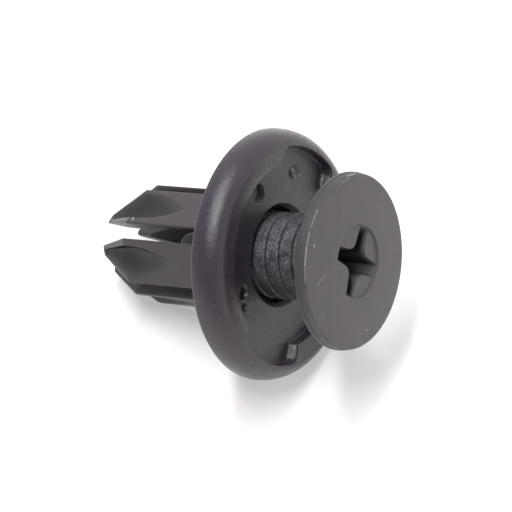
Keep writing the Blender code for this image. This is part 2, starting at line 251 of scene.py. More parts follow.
# %% Group for one mark
def build_mark_group():
    group, given, result = new_group(
        "surface_mark",
        [("Place", "Vector", None), ("Start", "Vector", (0, 0, 0)), ("End", "Vector", (1, 0, 0)),
         ("Width", "Float", 0.05)],
        [("Mask", "Float")])

    def vector_math(operation, first, second, output="Vector"):
        node = group.nodes.new("ShaderNodeVectorMath")
        node.operation = operation
        link(group, first, node.inputs[0])
        link(group, second, node.inputs[1])
        return node.outputs[output]

    here, start, end = (given.outputs[name] for name in ("Place", "Start", "End"))
    along = vector_math("SUBTRACT", end, start)
    away = vector_math("SUBTRACT", here, start)
    share = math_node(group, "DIVIDE", vector_math("DOT_PRODUCT", away, along, "Value"),
                      vector_math("DOT_PRODUCT", along, along, "Value"), clamp=True)
    scaled = group.nodes.new("ShaderNodeVectorMath")
    scaled.operation = "SCALE"
    link(group, along, scaled.inputs[0])
    link(group, share, scaled.inputs["Scale"])
    distance = vector_math("DISTANCE", away, scaled.outputs[0], "Value")
    ratio = math_node(group, "DIVIDE", distance, given.outputs["Width"])
    link(group, math_node(group, "SUBTRACT", 1.0, ratio, clamp=True), result.inputs["Mask"])
    return group


mark_group = build_mark_group()
print(mark_group.name, len(mark_group.nodes), "nodes")

# %% [markdown]
# ## Painted glints
# The thread's rough lands sparkle where they catch the light, on the side that faces half way up
# to the left, and that sparkle is painted into the colour as bright glints. A third group makes the
# painted glints from fine noise, and keeps them to a range of directions round the axis.

# %% Group for painted glints
def build_glint_group():
    group, given, result = new_group(
        "painted_glints",
        [("Place", "Vector", None), ("Facing", "Vector", (1, 0, 0))],
        [("Mask", "Float")])
    place = given.outputs["Place"]
    specks = noise_node(group, place, 12.0, detail=2, roughness=0.7)
    patches = noise_node(group, place, 1.3, detail=2, roughness=0.5)
    flat = group.nodes.new("ShaderNodeVectorMath")
    flat.operation = "MULTIPLY"
    link(group, place, flat.inputs[0])
    flat.inputs[1].default_value = (1, 1, 0)
    outward = group.nodes.new("ShaderNodeVectorMath")
    outward.operation = "NORMALIZE"
    link(group, flat.outputs[0], outward.inputs[0])
    facing = group.nodes.new("ShaderNodeVectorMath")
    facing.operation = "DOT_PRODUCT"
    link(group, outward.outputs[0], facing.inputs[0])
    link(group, given.outputs["Facing"], facing.inputs[1])

    def above(value, least, gain):
        """A mask that rises by the gain where the value passes its least."""
        over = math_node(group, "SUBTRACT", value, least)
        return math_node(group, "MULTIPLY", over, gain, clamp=True)

    side = above(facing.outputs["Value"], 0.5, 3.0)
    speckled = math_node(group, "MULTIPLY", above(specks, 0.49, 7.0), side)
    patchy = math_node(group, "MULTIPLY", speckled, above(patches, 0.3, 4.0))
    link(group, patchy, result.inputs["Mask"])
    return group


glint_group = build_glint_group()
print(glint_group.name, len(glint_group.nodes), "nodes")

# %% [markdown]
# ## One material for each moulding
# The mouldings differ a little in tone, so one function builds a nylon from a colour, a roughness
# and a list of marks. Depth that light hardly reaches, such as a scoop or a groove, is darker than
# the lamps alone make it: the mesh carries an attribute that says how deep a point lies, and painted
# shade in the colour follows it. The function can also add painted glints to the thread's lands.

# %% Material helper
PALE = (0.75, 0.74, 0.76)
DARK = (0.004, 0.004, 0.004)
GLINT_COLOUR = (0.5, 0.5, 0.56)
GLINT_FACING = (math.cos(0.5), math.sin(0.5), 0)
GRAIN_DEPTH = 0.00005


def blend_colour(tree, shade, mask, colour):
    """The shade turned towards a colour where the mask is high."""
    blend = tree.nodes.new("ShaderNodeMix")
    blend.data_type = "RGBA"
    link(tree, mask, blend.inputs["Factor"])
    link(tree, shade, blend.inputs["A"])
    blend.inputs["B"].default_value = (*colour, 1)
    return blend.outputs["Result"]


def nylon(name, colour, roughness, grain, marks=(), cloudiness=0.2, painted_shade_strength=0.0, grit_and_glints=0.0):
    """Nylon with pale and dark marks, each given as (start, end, width, strength).

    One strength paints shade where the mesh's own depth attribute marks, and another paints glints on
    the lands.
    """
    material = bpy.data.materials.new(name)
    material.use_nodes = True
    tree = material.node_tree
    surface = tree.nodes["Principled BSDF"]
    surface.inputs["IOR"].default_value = 1.5
    coordinates = tree.nodes.new("ShaderNodeTexCoord")
    mapping = tree.nodes.new("ShaderNodeMapping")
    mapping.vector_type = "POINT"
    to_axis = LAY_DOWN.inverted()
    mapping.inputs["Location"].default_value = to_axis.translation
    mapping.inputs["Rotation"].default_value = to_axis.to_euler()
    mapping.inputs["Scale"].default_value = (1000, 1000, 1000)
    link(tree, coordinates.outputs["Object"], mapping.inputs["Vector"])
    place = mapping.outputs["Vector"]
    moulded = tree.nodes.new("ShaderNodeGroup")
    moulded.node_tree = moulded_group
    link(tree, place, moulded.inputs["Place"])
    moulded.inputs["Colour"].default_value = (*colour, 1)
    moulded.inputs["Roughness"].default_value = roughness
    moulded.inputs["Cloudiness"].default_value = cloudiness
    shade = moulded.outputs["Colour"]
    for start, end, width, strength in marks:
        mark = tree.nodes.new("ShaderNodeGroup")
        mark.node_tree = mark_group
        link(tree, place, mark.inputs["Place"])
        mark.inputs["Start"].default_value = start
        mark.inputs["End"].default_value = end
        mark.inputs["Width"].default_value = width
        mask = math_node(tree, "MULTIPLY", mark.outputs["Mask"], abs(strength), clamp=True)
        shade = blend_colour(tree, shade, mask, PALE if strength > 0 else DARK)
    # Painted glints: bright specks on the lands that face the light.
    if grit_and_glints:
        glints = tree.nodes.new("ShaderNodeGroup")
        glints.node_tree = glint_group
        link(tree, place, glints.inputs["Place"])
        glints.inputs["Facing"].default_value = GLINT_FACING
        mask = math_node(tree, "MULTIPLY", glints.outputs["Mask"], grit_and_glints)
        shade = blend_colour(tree, shade, mask, GLINT_COLOUR)
    # Painted shade: the colour darkens where the mesh's depth attribute is high.
    if painted_shade_strength:
        attribute = tree.nodes.new("ShaderNodeAttribute")
        attribute.attribute_name = "painted_shade"
        mask = math_node(tree, "MULTIPLY", attribute.outputs["Fac"], painted_shade_strength)
        shade = blend_colour(tree, shade, mask, DARK)
    link(tree, shade, surface.inputs["Base Color"])
    link(tree, moulded.outputs["Roughness"], surface.inputs["Roughness"])
    bump = tree.nodes.new("ShaderNodeBump")
    bump.inputs["Strength"].default_value = grain
    bump.inputs["Distance"].default_value = GRAIN_DEPTH
    link(tree, moulded.outputs["Height"], bump.inputs["Height"])
    link(tree, bump.outputs["Normal"], surface.inputs["Normal"])
    return material


def on_face(radius, degrees, height):
    """A point on the rivet from its radius and angle, in millimetres."""
    angle = math.radians(degrees)
    return (radius * math.cos(angle), radius * math.sin(angle), height)


# %% [markdown]
# ## The flange
# The flange is a dished disc. Its rim is a fat dome, and inside it a flat pocket takes the screw's
# head when it is home. It is spun from one closed profile with fine steps.

# %% Flange profile
SEAT_RADIUS = 8.985
RIM_HEIGHT = 0.35
CREST_RADIUS, CREST_HEIGHT = 7.75, 2.13
POCKET_RADIUS, FLOOR_HEIGHT, WALL_HEIGHT = 6.5, 1.27, 1.97
WALL_RADIUS = POCKET_RADIUS + 0.08
BORE_RADIUS, MOUTH_RADIUS = 3.4, 3.73
DOME_STEPS = 24


def flange_corners():
    """Bore, mouth, pocket floor and wall, then the dome out to the seat."""
    corners = [(BORE_RADIUS, 0, 0), (BORE_RADIUS, FLOOR_HEIGHT - 0.33, 0.1),
               (MOUTH_RADIUS, FLOOR_HEIGHT, 0.08), (POCKET_RADIUS, FLOOR_HEIGHT, 0.12),
               (WALL_RADIUS, WALL_HEIGHT, 0.1)]
    for share in (0.4, 0.7, 0.9):
        radius = WALL_RADIUS + (CREST_RADIUS - WALL_RADIUS) * share
        rise = (CREST_HEIGHT - WALL_HEIGHT) * (1 - (1 - share) ** 2)
        corners.append((radius, WALL_HEIGHT + rise, 0))
    for i in range(DOME_STEPS + 1):
        angle = math.pi / 2 * (1 - i / DOME_STEPS)
        corners.append((CREST_RADIUS + (SEAT_RADIUS - CREST_RADIUS) * math.cos(angle),
                        RIM_HEIGHT + (CREST_HEIGHT - RIM_HEIGHT) * math.sin(angle), 0))
    return corners + [(SEAT_RADIUS, 0, 0.15)]


print("flange profile has", len(flange_corners()), "corners")

# %% [markdown]
# Two notches are let into the pocket's wall, opposite each other, so that a blade can lift the
# head. Cutting them with a Boolean would leave razor edges, so the points of the fine surface are
# pressed down to the floor instead: the distance from each point to the notch's outline decides
# how far, and the change within a tenth of a millimetre makes the moulded edge. The round mark of
# an ejector pin, two sink pits and the torn stub of the gate are pressed and raised the same way.

# %% Marks pressed into the flange
NOTCH_HALF_WIDTH, NOTCH_REACH, NOTCH_CORNER = 3.05, 7.75, 0.45
NOTCH_DEGREES = (-60, 120)
PIN_MARK = (5.4, -10, 0.62, 0.26)
PITS = ((5.04, 74.5, 0.46, 0.6), (5.47, 84, 0.26, 0.35))
GATE, GATE_REACH = (6.0, -56), 0.75
STUB_HEIGHT, STUB_RADIUS = 0.3, 0.34
MOAT_DEPTH, MOAT_RADIUS, MOAT_WIDTH = 0.04, 0.55, 0.08
GATE_RING, RING_RADIUS, RING_DEPTH, RING_WIDTH = (6.35, -65), 1.6, 0.02, 0.06
EDGE = 0.07


def notch_distance(x, y, degrees):
    """How far a point lies outside a notch, negative inside."""
    angle = math.radians(degrees)
    along = x * math.cos(angle) + y * math.sin(angle)
    across = abs(y * math.cos(angle) - x * math.sin(angle))
    if along < 0:
        return 9
    past_end = math.hypot(x, y) - NOTCH_REACH + NOTCH_CORNER
    past_side = across - NOTCH_HALF_WIDTH + NOTCH_CORNER
    outside = math.hypot(max(past_end, 0), max(past_side, 0))
    return outside + min(max(past_end, past_side), 0) - NOTCH_CORNER


def flange_height(x, y, height):
    """The flange's top surface after its notches and marks are pressed in."""
    for degrees in NOTCH_DEGREES:
        if height > FLOOR_HEIGHT:
            rise = smooth_step(-EDGE, EDGE, notch_distance(x, y, degrees))
            height = min(height, FLOOR_HEIGHT + (height - FLOOR_HEIGHT) * rise)
    for radius, degrees, size, depth in (PIN_MARK, *PITS):
        centre = on_face(radius, degrees, 0)
        distance = math.hypot(x - centre[0], y - centre[1])
        height -= depth * (1 - smooth_step(size - 0.03, size + 0.04, distance))
    gate = on_face(*GATE, 0)
    distance = math.hypot(x - gate[0], y - gate[1])
    if distance < GATE_REACH:
        rough = noise.noise(Vector((x, y, 0)) * 5) * 0.5 + 0.5
        height += STUB_HEIGHT * rough * math.exp(-(distance / STUB_RADIUS) ** 2)
        height -= MOAT_DEPTH * math.exp(-((distance - MOAT_RADIUS) / MOAT_WIDTH) ** 2)
    ring = on_face(*GATE_RING, 0)
    distance = math.hypot(x - ring[0], y - ring[1]) - RING_RADIUS
    height -= RING_DEPTH * math.exp(-(distance / RING_WIDTH) ** 2)
    return height


# %% [markdown]
# Only the pocket and its wall need the fine steps, so the profile is split there: its inner part is
# cut short, and the smooth dome keeps the steps that it has. After the spin the notches and marks
# are pressed in.

# %% Flange surface
FLANGE_STEPS, FINE_GAP = 560, 0.07
FINE_RADIUS, FINE_HEIGHT = 8.0, 0.5
PRESSED_HEIGHT, PRESSED_FROM, PRESSED_TO = 1.2, 3.85, 8.4
SEAT_MIDDLE = 6.0


def is_fine(point):
    return point.x < FINE_RADIUS and point.y > FINE_HEIGHT


path = rounded(flange_corners())
inner = spaced([point for point in path if is_fine(point)], FINE_GAP)
outer = [point for point in path if not is_fine(point)]
flange = spun([path[0]] + inner + outer[1:] + [Vector((SEAT_MIDDLE, 0))], FLANGE_STEPS, closed=True)
for vert in flange.verts:
    if vert.co.z > PRESSED_HEIGHT and PRESSED_FROM < math.hypot(vert.co.x, vert.co.y) < PRESSED_TO:
        vert.co.z = flange_height(vert.co.x, vert.co.y, vert.co.z)
print("flange surface has", len(flange.verts), "points")

# %% [markdown]
# The scratches are a list of lines in millimetres with a width and a strength. A positive strength
# makes a pale line and a negative one a dark line. Most of them lie round the notch in front.

# %% Flange scratches and finish
flange_marks = [
    ((3.83, -4.93, 1.35), (3.5, -4.9, 1.38), 0.09, 0.4),
    ((3.3, -4.75, 1.35), (2.95, -4.85, 1.33), 0.08, 0.45),
    ((3.4, -4.6, 1.33), (3.35, -5.0, 1.36), 0.05, 0.35),
    ((3.3, -5.75, 1.28), (2.97, -5.36, 1.28), 0.1, -0.8),
    ((3.09, -4.96, 1.28), (2.55, -5.49, 1.27), 0.035, 0.5),
    ((4.07, -6.3, 1.27), (3.4, -5.56, 1.27), 0.035, -0.9),
    ((2.93, -4.32, 1.27), (2.71, -4.14, 1.27), 0.03, -0.9),
    ((4.97, -3.8, 1.27), (3.76, -3.4, 1.27), 0.035, -0.9),
    ((3.76, -3.4, 1.27), (3.64, -3.13, 1.27), 0.035, -0.9),
    ((5.55, -5.1, 1.6), (4.62, -3.85, 1.3), 0.05, 0.25),
    ((-3.77, 6.04, 1.27), (-4.09, 6.32, 1.27), 0.04, -0.9),
    ((4.78, -7.05, 1.9), (4.5, -6.75, 2.06), 0.05, 0.18),
    ((7.45, -3.2, 1.9), (7.5, -3.1, 1.9), 0.1, 0.5),
    ((-2.6, 8.2, 1.3), (-2.66, 8.1, 1.4), 0.08, 0.5),
    ((-1.0, 8.5, 1.1), (-1.1, 8.4, 1.2), 0.08, 0.4),
    ((-3.7, 7.2, 2.05), (-4.5, 7.1, 1.7), 0.05, -0.9),
    ((1.05, 5.35, 1.27), (0.85, 5.15, 1.27), 0.06, 0.3),
    ((3.46, -5.6, 1.27), (2.81, -5.54, 1.27), 0.18, -1.0),
    ((3.75, -4.95, 1.35), (3.2, -4.95, 1.4), 0.12, 0.16),
    ((1.98, 5.5, 1.3), (1.1, 4.95, 1.3), 0.05, 0.12),
    ((-0.6, 5.84, 1.27), (-1.38, 6.36, 1.27), 0.06, 0.14),
    ((-1.38, 6.36, 1.27), (-1.73, 6.99, 1.27), 0.06, 0.14),
    ((-2.34, 7.2, 1.27), (-4.3, 6.34, 1.27), 0.06, 0.12),
]
flange_nylon = nylon("flange_nylon", (0.038, 0.03, 0.041), 0.25, 0.45, flange_marks)
flange_piece = finish_piece(flange, "flange", "socket", flange_nylon)

# %% [markdown]
# ## The legs
# Below the flange a six-sided barrel is sawn into six legs. Each has a flat outside with a long
# pointed scoop, a shoulder, and a nose that draws in to a blunt tip. The nose leans as much as the
# rivet does, because it lies flat on the table. These sizes and small functions say where the leg's
# faces are at any depth below the flange.

# %% Leg sizes
LEG_FLAT = 4.09
SHOULDER_DEPTH, TIP_DEPTH = 9.65, 13.15
TIP_FLAT = LEG_FLAT - (TIP_DEPTH - SHOULDER_DEPTH) * math.tan(tilt)
TIP_ROUND = 0.3
SLOT_WIDTH, SLOT_FLARE = 1.2, 1.8
COLLAR_DEPTH = 1.4
LEAST_WALL = 0.12
SCOOP_START, SCOOP_FULL, SCOOP_END = 5.1, 9.2, 12.85
SCOOP_HALF_WIDTH, SCOOP_TIP_HALF_WIDTH, SCOOP_DEPTH = 1.2, 0.12, 1.3
SCOOP_CREASE, SCOOP_CLOSING = 0.4, 0.3
WEB = 0.6
LEG_DEGREES = 60


def nose_share(depth):
    """How far a depth lies down the nose: 0 at the shoulder, 1 at the tip."""
    return min(1, max(0, (depth - SHOULDER_DEPTH) / (TIP_DEPTH - SHOULDER_DEPTH)))


def leg_outside(depth):
    flat = LEG_FLAT + (TIP_FLAT - LEG_FLAT) * nose_share(depth)
    to_tip = max(0, depth - TIP_DEPTH + TIP_ROUND) / TIP_ROUND
    return flat - TIP_ROUND * (1 - math.sqrt(max(0, 1 - to_tip * to_tip)))


def slot_at(depth):
    return SLOT_WIDTH + (SLOT_FLARE - SLOT_WIDTH) * nose_share(depth)


def leg_side(x, depth):
    """Half the leg's width at a distance from the axis."""
    return (x - slot_at(depth)) * math.tan(math.radians(LEG_DEGREES / 2))


def bore_at(depth):
    """The leg's inner face: the bore, drawn in behind the scoop until the slots' sides meet."""
    slope = SCOOP_DEPTH / (SHOULDER_DEPTH - SCOOP_START)
    drawn = BORE_RADIUS - slope * max(0, depth - SCOOP_START - WEB)
    return max(drawn, slot_at(depth) + LEAST_WALL)


def scoop_sink(depth, y, side):
    """How deep the scoop is at a depth and a distance from its middle: steep on one side."""
    if depth < SCOOP_START or depth > SCOOP_END:
        return 0
    if depth > SHOULDER_DEPTH:
        half = SCOOP_HALF_WIDTH + (SCOOP_TIP_HALF_WIDTH - SCOOP_HALF_WIDTH) * nose_share(depth)
        sink = SCOOP_DEPTH * (1 - nose_share(depth)) * min(1, (SCOOP_END - depth) / SCOOP_CLOSING)
    else:
        run = SCOOP_FULL - SCOOP_START
        radius = (run * run + SCOOP_HALF_WIDTH ** 2) / (2 * SCOOP_HALF_WIDTH)
        half = SCOOP_HALF_WIDTH - radius + math.sqrt(radius ** 2 - max(0, SCOOP_FULL - depth) ** 2)
        sink = SCOOP_DEPTH * (depth - SCOOP_START) / (SHOULDER_DEPTH - SCOOP_START)
    if half < 0.01 or abs(y) >= half:
        return 0
    across = side * y / half
    if across > SCOOP_CREASE:
        return sink * (1 - ((across - SCOOP_CREASE) / (1 - SCOOP_CREASE)) ** 2) ** 0.45
    return sink * (1 - ((SCOOP_CREASE - across) / (1 + SCOOP_CREASE)) ** 1.7)


print("leg's flat is", LEG_FLAT, "mm from the axis, and", round(TIP_FLAT, 2), "mm at the tip")

# %% [markdown]
# A leg could be cut from a bar, but its scoop blends into the nose in a way that no simple cutter
# gives. So its outline is extruded step by step from the flange to the tip, and each new ring of
# points is moved to the outline at its depth. The scoops wander a tenth of a millimetre off the
# middle from leg to leg, so each leg is made with its own shift and then turned to its place.

# %% Leg outline
FACE_STEPS, SIDE_STEPS, INSIDE_STEPS = 44, 7, 8
SOFT_EDGE = 0.1


def leg_outline(depth, shift):
    """The leg's outline at a depth: outer face, side, bore and the other side."""
    outside = leg_outside(depth)
    inside = min(bore_at(depth), outside - 0.08)
    half = leg_side(outside, depth)
    soft = min(SOFT_EDGE, half / 2)
    outline = []
    for i in range(FACE_STEPS + 1):
        y = -half + 2 * half * i / FACE_STEPS
        edge = max(0, min(half - abs(y), soft)) / soft
        x = outside - soft * 0.7 * (1 - math.sqrt(1 - (1 - edge) ** 2))
        x -= scoop_sink(depth, y - shift, -1 if shift > 0 else 1)
        outline.append((max(x, min(inside + LEAST_WALL, outside - 0.04)), y))
    shoulder = outside - soft * 0.8
    for i in range(1, SIDE_STEPS + 1):
        x = shoulder + (inside - shoulder) * i / SIDE_STEPS
        outline.append((x, leg_side(x, depth)))
    for i in range(1, INSIDE_STEPS):
        y = leg_side(inside, depth) * (1 - 2 * i / INSIDE_STEPS)
        outline.append((math.sqrt(inside ** 2 - y ** 2), y))
    for i in range(SIDE_STEPS):
        x = inside + (shoulder - inside) * i / SIDE_STEPS
        outline.append((x, -leg_side(x, depth)))
    return outline


print("leg outline has", len(leg_outline(COLLAR_DEPTH, 0)), "points")

# %% One leg
FINE_DEPTH, DEPTH_STEP = 4.8, 0.09
SCOOP_WANDER, DARK_SINK = 0.1, 0.5


def leg_depths():
    """Few rings down to the scoop, many along it, and a rounded tip."""
    depths = [-0.2, COLLAR_DEPTH, 3.0, 4.2]
    count = int((TIP_DEPTH - TIP_ROUND - FINE_DEPTH) / DEPTH_STEP)
    depths += [FINE_DEPTH + DEPTH_STEP * i for i in range(count)]
    return depths + [TIP_DEPTH - TIP_ROUND * (1 - share) for share in (0, 0.3, 0.55, 0.75, 0.9, 0.97)]


def one_leg(degrees):
    """One leg, turned to its place round the axis."""
    depths = leg_depths()
    shift = SCOOP_WANDER * math.sin(2 * math.radians(degrees - 30))
    bm = bmesh.new()
    ring = [bm.verts.new((x, y, -depths[0])) for x, y in leg_outline(depths[0], shift)]
    edges = [bm.edges.new((ring[i - 1], ring[i])) for i in range(len(ring))]
    bm.faces.new(ring)
    for depth in depths[1:]:
        made = bmesh.ops.extrude_edge_only(bm, edges=edges)["geom"]
        edges = [item for item in made if isinstance(item, bmesh.types.BMEdge)
                 and all(vert in made for vert in item.verts)
                 and not any(vert in ring for vert in item.verts)]
        moved = [item for item in made if isinstance(item, bmesh.types.BMVert)]
        order = {tuple(round(value, 6) for value in vert.co): i for i, vert in enumerate(ring)}
        fresh = [None] * len(ring)
        for vert in moved:
            fresh[order[tuple(round(value, 6) for value in vert.co)]] = vert
        for vert, (x, y) in zip(fresh, leg_outline(depth, shift)):
            vert.co = (x, y, -depth)
        ring = fresh
    bm.faces.new(ring[::-1])
    # The scoop's depth is stored, for painted shade in the scoop.
    painted_shade = bm.verts.layers.float.new("painted_shade")
    for vert in bm.verts:
        sink = scoop_sink(-vert.co.z, vert.co.y - shift, -1 if shift > 0 else 1)
        if vert.co.x > bore_at(-vert.co.z) + 0.05:
            vert[painted_shade] = min(1, sink / DARK_SINK)
    bmesh.ops.recalc_face_normals(bm, faces=bm.faces)
    turn = Matrix.Rotation(math.radians(degrees), 3, "Z")
    bmesh.ops.rotate(bm, cent=(0, 0, 0), matrix=turn, verts=bm.verts)
    return bm


print("leg is drawn down through", len(leg_depths()), "rings")

# %% Six legs
legs = bmesh.new()
for i in range(6):
    leg = one_leg(LEG_DEGREES * i)
    holder = bpy.data.meshes.new("leg_holder")
    leg.to_mesh(holder)
    leg.free()
    legs.from_mesh(holder)
    bpy.data.meshes.remove(holder)
leg_marks = [
    ((4.09, 0.95, -9.3), (4.09, 1.35, -9.2), 0.07, 0.7),
    ((4.0, 1.0, -9.75), (2.7, 0.62, -12.6), 0.16, 0.1),
]
# The scoops are darkened with painted shade.
leg_nylon = nylon("leg_nylon", (0.044, 0.036, 0.044), 0.4, 0.6, leg_marks, painted_shade_strength=0.92)
legs_piece = finish_piece(legs, "legs", "socket", leg_nylon)

# %% [markdown]
# The saw stops short of the flange, so a short collar joins the legs. Only its six corners show,
# at the roots of the slots, so one corner is extruded and spun into six, and its edges are bevelled.

# %% Collar corners
collar = bmesh.new()
COLLAR_HALF = SLOT_WIDTH / 2 + 0.1
corner_reach = LEG_FLAT / math.cos(math.radians(LEG_DEGREES / 2)) - 0.02
COLLAR_TOP = 0.2
outline = [(corner_reach, 0), (corner_reach - COLLAR_HALF * math.tan(math.radians(30)), COLLAR_HALF)]
outline += [(math.sqrt(BORE_RADIUS ** 2 - y * y), y)
            for y in (COLLAR_HALF, COLLAR_HALF / 2, 0, -COLLAR_HALF / 2, -COLLAR_HALF)]
outline.append((outline[1][0], -COLLAR_HALF))
face = collar.faces.new([collar.verts.new((x, y, COLLAR_TOP)) for x, y in outline])
below = bmesh.ops.extrude_face_region(collar, geom=[face])["geom"]
lowered = [item for item in below if isinstance(item, bmesh.types.BMVert)]
bmesh.ops.translate(collar, vec=(0, 0, -COLLAR_DEPTH - COLLAR_TOP), verts=lowered)
half_leg = Matrix.Rotation(math.radians(LEG_DEGREES / 2), 3, "Z")
bmesh.ops.rotate(collar, cent=(0, 0, 0), matrix=half_leg, verts=collar.verts)
bmesh.ops.spin(collar, geom=collar.verts[:] + collar.edges[:] + collar.faces[:], cent=(0, 0, 0),
               axis=(0, 0, 1), angle=math.radians(300), steps=5, use_duplicate=True)
bmesh.ops.recalc_face_normals(collar, faces=collar.faces)
sharp = [edge for edge in collar.edges if edge.calc_face_angle(0) > 0.6]
bmesh.ops.bevel(collar, geom=sharp, offset=0.04, segments=2, profile=0.5, affect="EDGES", material=-1)
finish_piece(collar, "collar", "socket", leg_nylon)
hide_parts("socket")
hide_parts("socket")

# %% [markdown]
# ## The screw's head
# The head is a thick disc with a slightly crowned face and a shallow sunk disc round its cross
# recess. The cross is pressed into the fine face as the notches were. It narrows towards its
# floor, so for each direction from the middle one number, the cross's reach there, tells how deep
# a point lies.

# %% Head sizes
HEAD_RADIUS, HEAD_FACE_RADIUS = 6.25, 6.16
PARTING_HEIGHT, PARTING_STEP = 7.02, 0.05
WORN_DEGREES, TORN_HEIGHT = 72, 0.1
HEAD_UNDERSIDE, FACE_EDGE, HEAD_CROWN = 6.69, 7.58, 0.3
DISC_RADIUS, DISC_DEPTH = 2.6, 0.12
CROSS_REACH, CROSS_ARM, CROSS_ROOT, CROSS_CORNER = 2.6, 0.95, 1.25, 0.75
CROSS_DEPTH, CROSS_FLOOR, CROSS_DEGREES = 2.6, 0.42, 28
CORE_RADIUS, CORE_END = 2.6, 5.1


def cross_reach(angle):
    """How far the cross reaches from the middle in one direction."""
    angle = abs((angle + math.pi / 4) % (math.pi / 2) - math.pi / 4)
    end = CROSS_REACH / math.cos(angle)
    if end * math.sin(angle) <= CROSS_ARM / 2:
        return end
    centre = CROSS_ROOT / 2 + CROSS_CORNER
    lean = (CROSS_ROOT - CROSS_ARM) / 2 / (CROSS_REACH - centre)
    side = (CROSS_ROOT / 2 + lean * centre) / (math.sin(angle) + lean * math.cos(angle))
    if side * math.cos(angle) >= centre:
        return side
    middle = centre * (math.cos(angle) + math.sin(angle))
    return middle - math.sqrt(max(middle ** 2 - 2 * centre ** 2 + CROSS_CORNER ** 2, 0))


def face_height(radius):
    return FACE_EDGE + HEAD_CROWN * (1 - (radius / HEAD_FACE_RADIUS) ** 2)


print("cross reaches", round(cross_reach(math.pi / 4), 2), "mm between its arms")

# %% [markdown]
# The recess is deeper than the head is thick, so the head has a core that reaches down inside the
# shank and holds it. The side has the small step of the mould's parting line, and its upper edge is
# torn on the side where it was levered, where noise pulls it out by a few hundredths of a
# millimetre.

# %% Head surface
HEAD_STEPS, HEAD_GAP, CROSS_GAP = 360, 0.35, 0.04
CROSS_ZONE, CROSS_BELOW = 2.75, 0.3
PRESSED_ABOVE, DARK_DEPTH, SIDE_PAINTED_SHADE = 7.5, 0.7, 0.45


def is_coarse(point):
    return point.x > CROSS_ZONE or point.y < FACE_EDGE - CROSS_BELOW


head_corners = [(0, CORE_END, 0), (CORE_RADIUS, CORE_END, 0), (CORE_RADIUS, HEAD_UNDERSIDE, 0),
                (HEAD_RADIUS, HEAD_UNDERSIDE, 0.12), (HEAD_RADIUS, PARTING_HEIGHT, 0.03),
                (HEAD_RADIUS - PARTING_STEP, PARTING_HEIGHT + 0.03, 0.02),
                (HEAD_FACE_RADIUS, FACE_EDGE, 0.2)]
head_corners += [(radius, face_height(radius), 0) for radius in (5.7, 5.1, 4.5, 3.8, 3.1)]
rim_height = face_height(DISC_RADIUS)
head_corners += [(DISC_RADIUS, rim_height, 0.05), (DISC_RADIUS - 0.02, rim_height - DISC_DEPTH, 0.04),
                 (0, rim_height - DISC_DEPTH, 0)]
path = rounded(head_corners)
coarse = spaced([point for point in path if is_coarse(point)], HEAD_GAP)
fine = spaced([point for point in path if not is_coarse(point)], CROSS_GAP)
head = spun(coarse + fine, HEAD_STEPS)
cross_turn, worn_middle = math.radians(CROSS_DEGREES), math.radians(WORN_DEGREES)
# The cross's depth is stored for painted shade in the recess, and the side and underside get an even
# painted shade.
painted_shade = head.verts.layers.float.new("painted_shade")
for vert in head.verts:
    radius = math.hypot(vert.co.x, vert.co.y)
    angle = math.atan2(vert.co.y, vert.co.x)
    if vert.co.z > PRESSED_ABOVE and radius < CROSS_REACH + 0.1:
        share = radius / cross_reach(angle - cross_turn)
        depth = CROSS_DEPTH * min(1, max(0, (1 - share) / (1 - CROSS_FLOOR)))
        if share < 1:
            vert.co.z = min(vert.co.z, face_height(0) - depth)
        vert[painted_shade] = min(1, depth / DARK_DEPTH)
    elif vert.co.z < FACE_EDGE - 0.04:
        vert[painted_shade] = SIDE_PAINTED_SHADE
    if 6.0 < radius and FACE_EDGE - 0.15 < vert.co.z:
        torn = noise.noise(Vector((vert.co.x, vert.co.y, 0)) * 2.2) + 0.6 * noise.noise(vert.co * 6)
        worn = max(0, math.cos(angle - worn_middle) - math.cos(worn_middle))
        vert.co.xy *= 1 + TORN_HEIGHT * min(max(torn, 0), 1) * worn / radius
print("head surface has", len(head.verts), "points")

# %% [markdown]
# The head's marks are a few scratches on its face, and short pale lines along its torn edge, which
# are a painted highlight where the edge catches the light.

# %% Head scratches and finish
head_marks = [
    ((2.35, 4.41, 7.7), (2.33, 3.35, 7.77), 0.05, 0.35),
    ((2.5, 4.3, 7.7), (2.45, 3.9, 7.75), 0.04, 0.2),
    ((4.66, 2.74, 7.65), (4.6, 2.9, 7.65), 0.07, 0.5),
    ((-4.64, 2.2, 7.7), (-4.7, 2.25, 7.7), 0.07, 0.7),
    ((-5.07, 3.23, 7.6), (-5.2, 3.25, 7.6), 0.09, 0.4),
    ((5.5, -2.3, 7.6), (5.0, -3.3, 7.6), 0.06, 0.2),
    # Painted highlight along the head's torn edge.
    (on_face(6.14, 8, 7.52), on_face(6.14, 20, 7.52), 0.07, 0.25),
    (on_face(6.15, 24, 7.53), on_face(6.15, 34, 7.53), 0.08, 0.22),
    (on_face(6.15, 34, 7.53), on_face(6.15, 45, 7.53), 0.09, 0.32),
    (on_face(6.15, 45, 7.53), on_face(6.15, 56, 7.53), 0.07, 0.18),
    (on_face(6.2, 62, 7.5), on_face(6.2, 72, 7.52), 0.06, 0.25),
    (on_face(6.22, 78, 7.4), on_face(6.2, 96, 7.54), 0.05, 0.25),
    (on_face(6.14, -40, 7.52), on_face(6.14, -32, 7.52), 0.09, 0.35),
    ((-2.88, -1.09, 7.3), (-2.3, -1.0, 6.9), 0.1, 0.2),
]
# The head's colour carries painted shade in the cross and on the side.
head_nylon = nylon("head_nylon", (0.076, 0.067, 0.076), 0.46, 0.7, head_marks, cloudiness=0.3,
                   painted_shade_strength=0.88)
head_piece = finish_piece(head, "screw_head", "screw", head_nylon)
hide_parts("screw")

